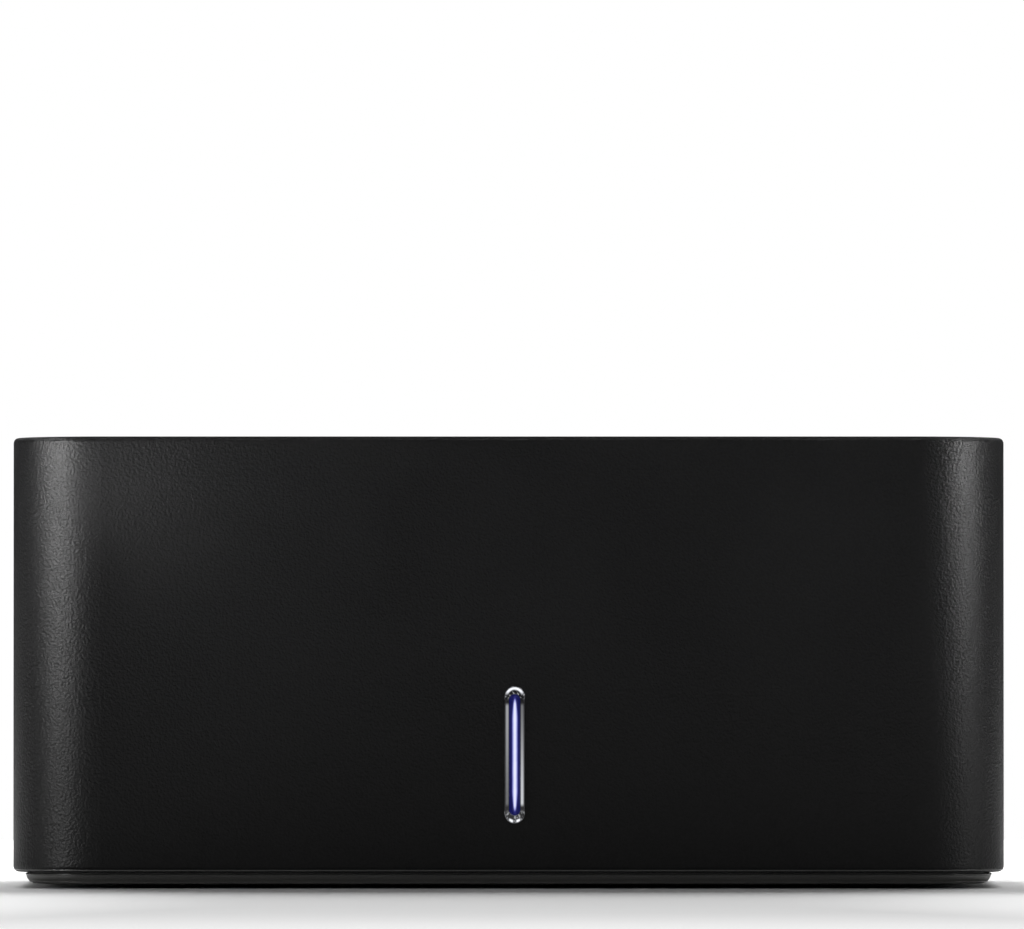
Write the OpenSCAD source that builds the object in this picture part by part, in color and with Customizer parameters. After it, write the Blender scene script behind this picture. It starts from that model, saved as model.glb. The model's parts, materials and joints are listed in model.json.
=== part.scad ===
// Desktop docking station for bare disk drives.
// The front faces -Y and +X is to the right. The origin is under the middle of the dock, on the desk.

/* [Drive bay] */
// Clear width of the slot, for a full-size drive
bay_w = 103; // [98:0.5:110]
// Clear thickness of the slot, front to back
bay_t = 27; // [25:0.5:30]
// Depth from the top deck to the floor of the bay
bay_depth = 39.5; // [38:0.5:50]
// Width of the flap for narrow drives
small_flap_w = 73.4; // [68:0.1:78]
// Depth of the flap for narrow drives, front to back
small_flap_t = 11.2; // [9:0.1:13]
// Wall of the bay frame
frame_wall = 1.6; // [1.2:0.1:2]
// Floor of the bay frame
frame_floor = 1.6; // [1.2:0.1:2.4]
// Width of the guide ribs in the bay
rib_w = 2; // [1.2:0.1:3]

/* [Housing] */
// Room beside the bay, from the slot to the outside of the housing
side_room = 14; // [13:0.5:20]
// Room in front of the bay, from the slot to the outside of the housing
front_room = 16.5; // [16:0.5:22]
// Gap between the bay frame and the data socket behind it
socket_gap = 0.8; // [0.5:0.1:6]
// Radius of the upright corners
corner_r = 12; // [10:0.5:14]
// Thickness of the housing's walls
wall_t = 2.4; // [2:0.1:3]
// Thickness of the top deck
deck_t = 2.4; // [2:0.1:3]
// Radius of the edge round the top deck
top_edge_r = 0.7; // [0.3:0.1:1.2]
// Radius of the edge round the lower rim
lower_edge_r = 0.8; // [0.3:0.1:1.2]
// Width of the lead-in round the slot
lead_in = 1.2; // [0.4:0.1:1.6]
// Radius of the screw posts
post_r = 3.4; // [3:0.1:4]

/* [Base] */
// Height of the feet below the base plate
foot_h = 0.6; // [0.4:0.1:2]
// Radius of the feet
foot_r = 5; // [4:0.5:6]
// Depth of the foot recesses
foot_sink = 0.8; // [0.4:0.1:1]
// Thickness of the base plate's floor
floor_t = 2; // [1.8:0.1:3]
// Step from the housing's side to the base plate's edge
plinth_inset = 1.7; // [1.2:0.1:2]
// Height of the base plate's edge, which is rounded over that height
plinth_h = 1.25; // [1:0.05:1.5]
// Gap between the base plate's edge and the housing's rim
shadow_gap = 0.25; // [0.1:0.05:0.4]
// Height of the locating lip
lip_h = 2.4; // [1.5:0.1:4]
// Thickness of the locating lip
lip_t = 1.2; // [0.8:0.1:1.6]
// Length of the vent slots
vent_l = 24; // [12:1:28]
// Width of the vent slots
vent_w = 2.2; // [1.5:0.1:3]

/* [Flaps] */
// Thickness of the flaps
flap_t = 1.6; // [1.2:0.1:2]
// Gap round the flaps
flap_gap = 0.4; // [0.3:0.05:0.6]
// Radius of the hinge knuckles
knuckle_r = 1.8; // [1.7:0.1:2.2]
// Length of each hinge knuckle
knuckle_l = 12; // [8:0.5:14]
// Radius of the hinge pins
pin_r = 0.8; // [0.6:0.05:0.9]
// Diameter of the spring wire
spring_wire = 0.4; // [0.3:0.05:0.5]
// Curls in each spring
spring_curls = 6; // [4:1:7]
// Rise of the spring wire in each curl
spring_pitch = 1; // [0.95:0.05:1.2]
// Length of the spring legs
spring_leg = 8; // [5:0.5:9]

/* [Board] */
// Height of the standoffs under the board
standoff_h = 7.8; // [6:0.1:10]
// Width of the main board
board_w = 100; // [94:1:104]
// Thickness of the main board
board_t = 1.6; // [1.2:0.1:2]
// Room between the board and the bay frame
board_room = 6.3; // [6:0.1:9]

/* [Front light] */
// Width of the light bezel
light_w = 2.6; // [2.2:0.1:4]
// Height of the light bezel
light_h = 17.9; // [14:0.1:20]
// Middle of the light above the housing's rim
light_rise = 15.5; // [14:0.1:19]
// Middle of the light to the right of the dock's middle
light_x = 0.8; // [-4:0.1:4]
// Width of the clear rim beside the glowing rod
light_rim = 0.58; // [0.4:0.02:0.8]
// Height of the clear ends above and below the glowing rod
light_end = 1; // [0.6:0.1:2]
// How far the bezel stands out of the front
light_proud = 0.3; // [0.1:0.05:0.5]

/* [Rear sockets] */
// Place of the data socket along the rear wall
data_x = -14; // [-24:0.5:-8]
// Width of the data socket
data_w = 12; // [11:0.1:13]
// Height of the data socket
data_h = 10.8; // [10.6:0.1:12]
// Depth of the data socket
data_d = 17.4; // [14:0.1:17.6]
// Place of the power inlet along the rear wall
inlet_x = 10; // [5:0.5:14]
// Width of the power inlet
inlet_w = 9; // [8.6:0.1:10]
// Radius of the power inlet's bore
inlet_bore_r = 3.2; // [2.8:0.05:3.4]
// Radius of the power inlet's centre pin
inlet_pin_r = 1; // [0.8:0.05:1.25]
// Place of the power switch along the rear wall
switch_x = 30; // [25:0.5:34]
// Width of the power switch
switch_w = 9.6; // [8.6:0.1:11]
// Height of the power switch
switch_h = 14.8; // [14.4:0.1:16]
// Tilt of the rocker to either side, in degrees
rocker_tilt = 9; // [5:0.5:10]

/* [Screws] */
// Radius of the screw threads
screw_r = 1.3; // [1:0.05:1.5]
// Radius of the screw heads
screw_head_r = 2.5; // [2.2:0.1:2.7]
// Height of the screw heads
screw_head_h = 1.6; // [1.2:0.1:2]

/* [Fits] */
// Gap between pieces that slot together
fit_gap = 0.2; // [0.1:0.05:0.3]
// Running clearance round pins
run_gap = 0.05; // [0.02:0.01:0.1]

/* [Hidden] */
$fn = 48;

// Overshoot of a cut past the face that it opens
past = 1;

// Heights, from the desk up
rim_z = foot_h + plinth_h + shadow_gap;
light_z = rim_z + light_rise;
floor_top = foot_h + floor_t;
board_z = floor_top + standoff_h;
board_top = board_z + board_t;
frame_z = board_top + board_room;
seat_z = frame_z + frame_floor;
dock_h = seat_z + bay_depth;
deck_z = dock_h - deck_t;

// Plan
lip_gap = 0.3;
hinge_set = knuckle_r + fit_gap;
pocket_room = knuckle_r + flap_gap;
socket_recess = 0.5;
rear_room = hinge_set + pocket_room + frame_wall + socket_gap + data_d + socket_recess;
housing_w = bay_w + 2 * side_room;
housing_d = front_room + bay_t + rear_room;
front_y = -housing_d / 2;
rear_y = housing_d / 2;
slot_front = front_y + front_room;
slot_rear = slot_front + bay_t;
inner_r = corner_r - wall_t;
inner_w = housing_w - 2 * wall_t;
inner_d = housing_d - 2 * wall_t;
post_gap = 1;
post_x = bay_w / 2 + frame_wall + post_gap + post_r;
post_inset = 6.6;
post_y = rear_y - wall_t - post_inset;
boss_h = 2;
screw_bite = 8;
pilot_spare = 2;
boss_top = floor_top + boss_h;
post_rib = 1.4;

// Hinges of the two flaps, tucked under the deck in front of and behind the slot
flap_top = deck_z - lip_gap;
axis_z = flap_top - knuckle_r;
main_axis_y = slot_front - hinge_set;
small_axis_y = slot_rear + hinge_set;
pocket_front = main_axis_y - pocket_room;
pocket_rear = small_axis_y + pocket_room;
frame_front = pocket_front - frame_wall;
frame_rear = pocket_rear + frame_wall;
frame_w = bay_w + 2 * frame_wall;
flap_left = -bay_w / 2 + flap_gap;
flap_right = bay_w / 2 - flap_gap;
notch_x = -bay_w / 2 + small_flap_w;
split_y = slot_rear - small_flap_t;
ear_w = 3;
ear_r = 1.5;
main_ear_x = bay_w / 4 + ear_w / 2;
main_knuckle_set = bay_w / 8;
main_knuckle_x = [main_knuckle_set, 3 * main_knuckle_set];
small_mid_x = (flap_left + notch_x) / 2;
small_knuckle_set = small_flap_w / 2 - knuckle_l / 2 - ear_w;
small_ear_x = notch_x + ear_w / 2;

// Tabs that hang the bay frame from the deck
tab_reach = 4;
tab_x = frame_w / 2 + tab_reach;
tab_ys = [slot_front + bay_t * 0.2, slot_rear - bay_t * 0.2];
tab_drop = 8.4;
tab_z = deck_z - tab_drop;
tab_t = 2.2;
tab_boss_r = 3;

// Main board and its standoffs
board_front_gap = 4;
board_rear_gap = 2.1;
board_front = front_y + wall_t + board_front_gap;
board_rear = rear_y - wall_t - board_rear_gap;
standoff_r = 3;
standoff_x = board_w / 2 - 2 * standoff_r;
standoff_ys = [board_front + 1.7 * standoff_r, board_rear - 2.3 * standoff_r];

// Parts on the board: coils and capacitors from its left end, chips from its right end
part_gap = 3.4;
coil_side = 12.4;
coil_w = 6.6;
coil_r = 1.2;
coil_h = 3;
coil_x = -board_w / 2 + coil_side + coil_w / 2;
coil_pitch = coil_w + part_gap;
capacitor_r = 2.5;
capacitor_h = 5.4;
capacitor_groove = 0.35;
capacitor_groove_z = 1.2;
capacitor_x = coil_x + coil_pitch + coil_w / 2 + part_gap + capacitor_r;
capacitor_pitch = 2 * capacitor_r + part_gap;
front_row_y = slot_front + 4.2;
regulator_side = 10.4;
regulator_w = 6.5;
regulator_d = 3.6;
regulator_h = 1.7;
regulator_pitch = regulator_d + part_gap;
regulator_x = board_w / 2 - regulator_side - regulator_w / 2;
memory_w = 5;
memory_d = 6;
memory_h = 1.6;
memory_x = regulator_x - regulator_w / 2 - part_gap - memory_w / 2;
bridge_w = 9;
bridge_h = 1.2;
bridge_x = memory_x - memory_w / 2 - part_gap - bridge_w / 2;
chip_row_y = front_row_y + capacitor_r + part_gap / 4 + bridge_w / 2;
small_w = 1.6;
small_d = 0.8;
small_h = 0.6;
small_pitch = 3;
small_x = bridge_x - bridge_w / 2 + small_w / 2;
small_y = chip_row_y + bridge_w / 2 + small_d;
small_row = 2.4;
can_w = 10.2;
can_t = 4.2;
can_h = 3.4;
can_side = 0.1;
can_y = small_y + small_row + small_d + can_t / 2;

// Feet
foot_x = post_x - foot_r - screw_head_r - 4;
foot_y = post_y - 3;

// Drive connector, under the bay's rear left
contact_pitch = 1.27;
contact_w = 0.6;
contact_t = 0.25;
contact_margin = 0.6;
data_contact_n = 7;
power_contact_n = 15;
slot_key = 1.2;
slot_bridge = 2.4;
slot_ends = slot_key + contact_w + 2 * contact_margin;
data_slot_w = (data_contact_n - 1) * contact_pitch + slot_ends;
power_slot_w = (power_contact_n - 1) * contact_pitch + slot_ends;
tongue_slot = 1.9;
tongue_depth = 5.5;
connector_end = 1.3;
connector_rim = 0.6;
connector_w = power_slot_w + slot_bridge + data_slot_w + 4 * connector_end;
connector_t = 6.2;
connector_side = 30.5;
connector_x = -bay_w / 2 + connector_side;
drive_tongue_y = 3.5;
connector_y = slot_rear - drive_tongue_y;
connector_reach = 4.1;
connector_top = seat_z + connector_reach;

// Rear sockets
socket_front = rear_y - socket_recess;
data_wall = 0.4;
data_mouth = 9;
inlet_h = 11;
inlet_d = 13.5;
inlet_mouth = 10;
inlet_z = board_top + 6;
switch_recess = 1.2;
switch_front = rear_y - switch_recess;
switch_d = 12;
switch_z = board_top + switch_h / 2;
rocker_back = 3.3;
rocker_y = switch_front - rocker_back;
rocker_gap = 0.35;
rocker_w = switch_w - 2.4;
rocker_h = switch_h - 3.6;
rocker_pin_r = 0.9;
window_gap = 0.3;
terminal_r = 0.5;
terminal_set = 3.6;

// Front light
rod_w = light_w - 2 * light_rim;
rod_h = light_h - 2 * light_end;
rod_front = front_y + fit_gap;
led_gap = 0.3;
light_flange = 1.2;
light_flange_t = 1.2;
inner_front = front_y + wall_t;
rod_back = inner_front + light_flange_t + led_gap;
led_r = 1.5;
led_l = 4;

// Block with round upright corners, standing on z = 0, as high as its section
// The child is the section from a corner's axis, x = 0, out to its face, x = r
module round_cornered(w, d, r, h) {
    translate([0, 0, h / 2])
        cube([w - 2 * r, d - 2 * r, h], center = true);
    for (side = [0 : 3]) {
        reach = (side % 2 == 0 ? w : d) / 2 - r;
        straight = (side % 2 == 0 ? d : w) - 2 * r;
        rotate(90 * side) {
            translate([reach, 0, 0])
                rotate([90, 0, 0])
                    linear_extrude(straight, center = true)
                        children();
            translate([reach, straight / 2, 0])
                rotate_extrude(angle = 90)
                    children();
        }
    }
}

// Section with a rounded lower and upper outside edge
module rounded_section(r, h, lower_r, upper_r) {
    translate([0, lower_r])
        square([r, h - lower_r - upper_r]);
    square([r - lower_r, h]);
    translate([0, h - upper_r])
        square([r - upper_r, upper_r]);
    translate([r - lower_r, lower_r])
        circle(lower_r);
    translate([r - upper_r, h - upper_r])
        circle(upper_r);
}

// Section whose outside edge is rounded over its whole height
module bowl_section(r, h) {
    square([r - h, h]);
    translate([r - h, h])
        intersection() {
            circle(h);
            translate([0, -h])
                square(h);
        }
}

// Plain upright block with round corners
module plain_block(w, d, r, h) {
    round_cornered(w, d, r, h)
        square([r, h]);
}

// Round-ended bar, upright in the XZ plane, running from y = 0 back
module upright_bar(w, h, l) {
    translate([-w / 2, 0, -(h - w) / 2])
        cube([w, l, h - w]);
    for (side = [-1, 1])
        translate([0, 0, side * (h - w) / 2])
            rotate([-90, 0, 0])
                cylinder(r = w / 2, h = l);
}

// Round-ended slot in the floor, along Y
module vent_slot() {
    translate([-vent_w / 2, -(vent_l - vent_w) / 2, -past])
        cube([vent_w, vent_l - vent_w, floor_t + 2 * past]);
    for (side = [-1, 1])
        translate([0, side * (vent_l - vent_w) / 2, -past])
            cylinder(r = vent_w / 2, h = floor_t + 2 * past);
}

// Bar along X between two places, round in section
module rod_x(x0, x1, r) {
    translate([x0, 0, 0])
        rotate([0, 90, 0])
            cylinder(r = r, h = x1 - x0);
}

// Box given by its low and high corners
module box(low, high) {
    translate(low)
        cube(high - low);
}

// Pan-head screw pointing up, with the head's underside at z = 0
module screw_up(length) {
    cylinder(r = screw_r, h = length);
    translate([0, 0, -screw_head_h])
        difference() {
            cylinder(r = screw_head_r, h = screw_head_h);
            for (turn = [0, 90])
                rotate(turn)
                    translate([0, 0, 0.3])
                        cube([screw_head_r * 1.2, 0.6, screw_head_h], center = true);
        }
}

// Places of the four corner posts
module at_posts() {
    for (sx = [-1, 1], sy = [-1, 1])
        translate([sx * post_x, sy * post_y, 0])
            children();
}

// Places of the four tabs of the bay frame
module at_tabs() {
    for (sx = [-1, 1], y = tab_ys)
        translate([sx * tab_x, y, 0])
            children();
}

// Places of the four standoffs
module at_standoffs() {
    for (sx = [-1, 1], y = standoff_ys)
        translate([sx * standoff_x, y, 0])
            children();
}

// Lead-in that widens the slot towards the top of the deck
module slot_cut() {
    middle = (slot_front + slot_rear) / 2;
    translate([0, middle, dock_h]) {
        cube([bay_w, bay_t, 2 * (deck_t + past)], center = true);
        hull() {
            translate([0, 0, -lead_in])
                cube([bay_w, bay_t, 0.01], center = true);
            translate([0, 0, 0.01])
                cube([bay_w + 2 * lead_in, bay_t + 2 * lead_in, 0.01], center = true);
        }
    }
}

module housing() {
    h = dock_h - rim_z;
    color("#1c1c1d")
        difference() {
            union() {
                difference() {
                    translate([0, 0, rim_z])
                        round_cornered(housing_w, housing_d, corner_r, h)
                            rounded_section(corner_r, h, lower_edge_r, top_edge_r);
                    translate([0, 0, rim_z - past])
                        plain_block(inner_w, inner_d, inner_r, h - deck_t + past);
                }
                housing_posts();
                at_tabs()
                    translate([0, 0, tab_z])
                        cylinder(r = tab_boss_r, h = tab_drop + deck_t / 2);
            }
            at_posts()
                translate([0, 0, boss_top - past])
                    cylinder(r = screw_r + run_gap, h = screw_bite + pilot_spare + past);
            at_tabs()
                translate([0, 0, tab_z - past])
                    cylinder(r = screw_r + run_gap, h = tab_drop - pilot_spare / 2 + past);
            slot_cut();
            rear_windows();
            translate([light_x, front_y - past, light_z])
                upright_bar(light_w + 2 * run_gap, light_h + 2 * run_gap, wall_t + 2 * past);
        }
}

// Screw posts in the corners, each with two ribs to the walls
module housing_posts() {
    rib_z = floor_top + lip_h + 1;
    rib_h = deck_z + deck_t / 2 - rib_z;
    at_posts()
        translate([0, 0, boss_top])
            cylinder(r = post_r, h = deck_z - boss_top + deck_t / 2);
    for (sx = [-1, 1], sy = [-1, 1]) {
        side_l = housing_w / 2 - wall_t / 2 - post_x;
        end_l = housing_d / 2 - wall_t / 2 - post_y;
        translate([sx * (post_x + side_l / 2 + post_r / 3), sy * post_y, rib_z + rib_h / 2])
            cube([side_l - post_r / 1.5, post_rib, rib_h], center = true);
        translate([sx * post_x, sy * (post_y + end_l / 2 + post_r / 3), rib_z + rib_h / 2])
            cube([post_rib, end_l - post_r / 1.5, rib_h], center = true);
    }
}

// Windows in the rear wall for the sockets and the switch
module rear_windows() {
    depth = wall_t + 2 * past;
    start = rear_y - wall_t - past;
    translate([data_x - data_w / 2 - window_gap, start, board_top - window_gap])
        cube([data_w + 2 * window_gap, depth, data_h + 2 * window_gap]);
    translate([inlet_x - inlet_w / 2 - window_gap, start, board_top - window_gap])
        cube([inlet_w + 2 * window_gap, depth, inlet_h + 2 * window_gap]);
    translate([switch_x - switch_w / 2 - window_gap, start, board_top - window_gap])
        cube([switch_w + 2 * window_gap, depth, switch_h + 2 * window_gap]);
}

module base_plate() {
    edge_r = corner_r - plinth_inset;
    tray_inset = wall_t + fit_gap;
    tray_w = housing_w - 2 * tray_inset;
    tray_d = housing_d - 2 * tray_inset;
    tray_r = corner_r - tray_inset;
    vent_pitch = 3 * vent_w;
    vent_n = 4;
    edge_w = housing_w - 2 * plinth_inset;
    edge_d = housing_d - 2 * plinth_inset;
    color("#242422")
        difference() {
            union() {
                translate([0, 0, foot_h])
                    round_cornered(edge_w, edge_d, edge_r, plinth_h)
                        bowl_section(edge_r, plinth_h);
                difference() {
                    translate([0, 0, foot_h + plinth_h / 2])
                        plain_block(tray_w, tray_d, tray_r, floor_t - plinth_h / 2 + lip_h);
                    translate([0, 0, floor_top])
                        plain_block(tray_w - 2 * lip_t, tray_d - 2 * lip_t, tray_r - lip_t, lip_h + past);
                }
                at_posts()
                    translate([0, 0, foot_h + plinth_h])
                        cylinder(r = post_r + 1, h = boss_top - foot_h - plinth_h);
                at_standoffs()
                    translate([0, 0, foot_h + plinth_h])
                        cylinder(r = standoff_r, h = board_z - foot_h - plinth_h);
            }
            at_posts() {
                cylinder(r = screw_head_r + fit_gap, h = foot_h + screw_head_h + fit_gap);
                cylinder(r = screw_r + fit_gap, h = boss_top + past);
                translate([0, 0, boss_top])
                    cylinder(r = post_r + fit_gap, h = lip_h + past);
            }
            at_standoffs()
                translate([0, 0, floor_top])
                    cylinder(r = screw_r + run_gap, h = standoff_h + past);
            for (sx = [-1, 1], sy = [-1, 1])
                translate([sx * foot_x, sy * foot_y, 0])
                    cylinder(r = foot_r + run_gap, h = foot_h + foot_sink);
            for (i = [-vent_n : vent_n])
                translate([i * vent_pitch, 0, foot_h])
                    vent_slot();
        }
}

// Rubber foot with a rounded lower edge
module foot(sx, sy) {
    round_r = 0.5;
    h = foot_h + foot_sink;
    color("#151515")
        translate([sx * foot_x, sy * foot_y, 0])
            rotate_extrude() {
                translate([0, round_r])
                    square([foot_r, h - round_r]);
                square([foot_r - round_r, h]);
                translate([foot_r - round_r, round_r])
                    circle(round_r);
            }
}

module base_screws() {
    color("#3a3b3d")
        at_posts()
            translate([0, 0, foot_h + screw_head_h + fit_gap])
                screw_up(boss_top - foot_h - screw_head_h + screw_bite);
}

module bay_frame() {
    color("#202021")
        difference() {
            union() {
                difference() {
                    box([-frame_w / 2, frame_front, frame_z], [frame_w / 2, frame_rear, deck_z]);
                    box([-bay_w / 2, pocket_front, seat_z], [bay_w / 2, pocket_rear, deck_z + past]);
                }
                guide_ribs();
                hinge_ears();
                frame_tabs();
            }
            translate([0, main_axis_y, axis_z])
                rod_x(-frame_w / 2 - past, frame_w / 2 + past, pin_r + run_gap);
            translate([0, small_axis_y, axis_z])
                rod_x(-frame_w / 2 - past, small_ear_x + ear_w + past, pin_r + run_gap);
            at_tabs()
                translate([0, 0, tab_z - tab_t - past])
                    cylinder(r = screw_r + fit_gap, h = tab_t + 2 * past);
            translate([connector_x, connector_y, frame_z - past])
                connector_window();
        }
}

// Window in the bay's floor that the drive connector comes up through
module connector_window() {
    w = connector_w + 2 * window_gap;
    t = connector_t + 2 * window_gap;
    translate([-w / 2, -t / 2, 0])
        cube([w, t, frame_floor + 2 * past]);
}

// Ribs that guide a drive below the swing of the flaps
module guide_ribs() {
    main_reach = slot_rear - flap_gap - main_axis_y;
    small_reach = small_axis_y - split_y;
    front_top = axis_z - main_reach - 1;
    rear_top = axis_z - small_reach - 1;
    for (i = [-3 : 2 : 3]) {
        x = i * bay_w / 8;
        box([x - rib_w / 2, pocket_front - frame_wall / 2, seat_z - frame_floor / 2],
            [x + rib_w / 2, slot_front, front_top]);
        box([x - rib_w / 2, slot_rear, seat_z - frame_floor / 2],
            [x + rib_w / 2, pocket_rear + frame_wall / 2, rear_top]);
    }
}

// Ears that carry the hinge pins between the knuckles
module hinge_ears() {
    for (sx = [-1, 1])
        translate([sx * main_ear_x - ear_w / 2, main_axis_y, axis_z]) {
            rod_x(0, ear_w, ear_r);
            box([0, -pocket_room - frame_wall / 2, -ear_r], [ear_w, 0, ear_r]);
        }
    translate([small_ear_x, small_axis_y, axis_z]) {
        rod_x(0, ear_w, ear_r);
        box([0, 0, -ear_r], [ear_w, pocket_room + frame_wall / 2, ear_r]);
    }
}

// Tabs beside the bay that are screwed up to the deck
module frame_tabs() {
    for (sx = [-1, 1], y = tab_ys) {
        near = sx * (frame_w / 2 - frame_wall / 2);
        far = sx * (tab_x + tab_boss_r);
        box([min(near, far), y - tab_boss_r, tab_z - tab_t], [max(near, far), y + tab_boss_r, tab_z]);
    }
}

module frame_screws() {
    color("#8b8d90")
        at_tabs()
            translate([0, 0, tab_z - tab_t])
                screw_up(tab_t + tab_drop - pilot_spare);
}

// Knuckle on a flap, about its own axis, with its web towards the plate on the side given
module knuckle(x, side) {
    translate([x - knuckle_l / 2, 0, 0]) {
        rod_x(0, knuckle_l, knuckle_r);
        translate([0, side > 0 ? 0 : -knuckle_r - 1, knuckle_r - flap_t])
            cube([knuckle_l, knuckle_r + 1, flap_t]);
    }
}

module main_flap() {
    plate_z = flap_top - flap_t;
    plate_front = main_axis_y + knuckle_r;
    color("#1a1a1b")
        difference() {
            union() {
                box([flap_left, plate_front, plate_z], [flap_right, split_y - flap_gap, flap_top]);
                box([notch_x + flap_gap, plate_front, plate_z], [flap_right, slot_rear - flap_gap, flap_top]);
                translate([0, main_axis_y, axis_z])
                    for (sx = [-1, 1], x = main_knuckle_x)
                        knuckle(sx * x, 1);
            }
            translate([0, main_axis_y, axis_z])
                rod_x(-bay_w / 2, bay_w / 2, pin_r + run_gap);
        }
}

module small_flap() {
    plate_z = flap_top - flap_t;
    color("#1a1a1b")
        difference() {
            union() {
                box([flap_left, split_y, plate_z], [notch_x, small_axis_y - knuckle_r, flap_top]);
                translate([small_mid_x, small_axis_y, axis_z])
                    for (sx = [-1, 1])
                        knuckle(sx * small_knuckle_set, -1);
            }
            translate([0, small_axis_y, axis_z])
                rod_x(-bay_w / 2, bay_w / 2, pin_r + run_gap);
        }
}

module main_flap_pin() {
    color("#b4b6b8")
        translate([0, main_axis_y, axis_z])
            rod_x(-frame_w / 2, frame_w / 2, pin_r);
}

module small_flap_pin() {
    color("#b4b6b8")
        translate([0, small_axis_y, axis_z])
            rod_x(-frame_w / 2, small_ear_x + ear_w, pin_r);
}

// Torsion spring about X, seen with its flap towards +Y
// One leg lies under the flap, the curls go round the pin and the other leg stands against the frame
spring_r = pin_r + fit_gap + spring_wire / 2;
spring_rings = 8;
spring_sides = 6;
spring_half = spring_pitch * spring_curls / 2;
leg_tip_z = knuckle_r - flap_t - spring_wire / 2 - fit_gap;
leg_set = pocket_room - spring_wire / 2 - fit_gap;
curl_steps = spring_rings * spring_curls;
function curl_point(a) = [-spring_half + spring_pitch * a / 360, -spring_r * sin(a), -spring_r * cos(a)];
curl_path = [for (i = [0 : curl_steps]) curl_point(360 * i / spring_rings)];
spring_path = concat(
    [[-spring_half, spring_leg, leg_tip_z], [-spring_half, 1, -spring_r]],
    curl_path,
    [
        [spring_half, -1, -spring_r - 0.1],
        [spring_half, -leg_set, -spring_r - 1],
        [spring_half, -leg_set, -spring_r - spring_leg]
    ]
);
curl_gaps = [
    for (i = [0 : curl_steps], j = [i + spring_rings - 2 : 1 : curl_steps])
        norm(curl_path[i] - curl_path[j]) - spring_wire
];
echo(least_gap_between_spring_curls = min(curl_gaps));

function unit(v) = v / norm(v);
function heading(path, i) = unit(path[min(i + 1, len(path) - 1)] - path[max(i - 1, 0)]);

// Unbroken tube along a path that never runs along X
module tube(path, r, sides) {
    last = len(path) - 1;
    rings = [
        for (i = [0 : last])
            let (
                t = heading(path, i),
                u = unit([1, 0, 0] - t[0] * t),
                v = cross(t, u)
            )
            for (k = [0 : sides - 1])
                path[i] + r * (cos(360 * k / sides) * u + sin(360 * k / sides) * v)
    ];
    skin = [
        for (i = [0 : last - 1], k = [0 : sides - 1])
            let (
                a = i * sides + k,
                b = i * sides + (k + 1) % sides
            )
            each [[a, a + sides, b], [b, a + sides, b + sides]]
    ];
    near_cap = [for (k = [1 : sides - 2]) [0, k, k + 1]];
    end = last * sides;
    far_cap = [for (k = [1 : sides - 2]) [end, end + k + 1, end + k]];
    polyhedron(rings, concat(skin, near_cap, far_cap));
}

module main_flap_spring() {
    color("#c2c4c6")
        translate([0, main_axis_y, axis_z])
            tube(spring_path, spring_wire / 2, spring_sides);
}

module small_flap_spring() {
    color("#c2c4c6")
        translate([small_mid_x, small_axis_y, axis_z])
            rotate(180)
                tube(spring_path, spring_wire / 2, spring_sides);
}

module main_board() {
    color("#1f5a35")
        difference() {
            box([-board_w / 2, board_front, board_z], [board_w / 2, board_rear, board_top]);
            at_standoffs()
                translate([0, 0, board_z - past])
                    cylinder(r = screw_r + fit_gap, h = board_t + 2 * past);
            at_terminals()
                translate([0, 0, board_z - past])
                    cylinder(r = terminal_r + fit_gap, h = board_t + 2 * past);
        }
}

module board_screws() {
    color("#8b8d90")
        at_standoffs()
            translate([0, 0, board_top])
                mirror([0, 0, 1])
                    screw_up(board_t + standoff_h - pilot_spare);
}

// Slots of the drive connector, from the middle of the connector's top
data_slot_x = connector_w / 2 - 2 * connector_end - data_slot_w;
power_slot_x = data_slot_x - slot_bridge - power_slot_w;

module drive_connector() {
    tower_y = connector_t / 2 - connector_rim;
    color("#161616")
        translate([connector_x, connector_y, 0])
            difference() {
                union() {
                    box([-connector_w / 2, -connector_t / 2, board_top],
                        [connector_w / 2, connector_t / 2, seat_z]);
                    box([power_slot_x - connector_end, -tower_y, seat_z - 1],
                        [data_slot_x + data_slot_w + connector_end, tower_y, connector_top]);
                }
                connector_slot(data_slot_x, data_slot_w);
                connector_slot(power_slot_x, power_slot_w);
            }
}

// Tongue slot with its key at the right-hand end
module connector_slot(x, w) {
    box([x, -tongue_slot / 2, connector_top - tongue_depth], [x + w, tongue_slot / 2, connector_top + past]);
    box([x + w - slot_key, -tongue_slot / 2 - slot_key, connector_top - tongue_depth],
        [x + w, 0, connector_top + past]);
}

module drive_contacts() {
    color("#d6b04a")
        translate([connector_x, connector_y, 0]) {
            contact_row(data_slot_x, data_slot_w, data_contact_n);
            contact_row(power_slot_x, power_slot_w, power_contact_n);
        }
}

// Row of contacts along the rear face of a tongue slot
module contact_row(x, w, n) {
    first = x + (w - slot_key - (n - 1) * contact_pitch - contact_w) / 2;
    contact_z = connector_top - tongue_depth;
    for (i = [0 : n - 1])
        translate([first + i * contact_pitch, tongue_slot / 2 - contact_t, contact_z])
            cube([contact_w, contact_t, tongue_depth - contact_w]);
}

// Flat packaged part on the board, with its middle at x, y
module package(x, y, size) {
    translate([x - size[0] / 2, y - size[1] / 2, board_top])
        cube(size);
}

module bridge_chip() {
    color("#1b1b1c")
        package(bridge_x, chip_row_y, [bridge_w, bridge_w, bridge_h]);
}

module memory_chip() {
    color("#1b1b1c")
        package(memory_x, chip_row_y, [memory_w, memory_d, memory_h]);
}

// Metal can with round ends
module crystal() {
    color("#c8cacc")
        translate([bridge_x, can_y, board_top])
            plain_block(can_w, can_t, can_t / 2 - can_side, can_h);
}

module inductors() {
    color("#3b3b3d")
        for (i = [0, 1])
            translate([coil_x + i * coil_pitch, front_row_y, board_top])
                plain_block(coil_w, coil_w, coil_r, coil_h);
}

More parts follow.
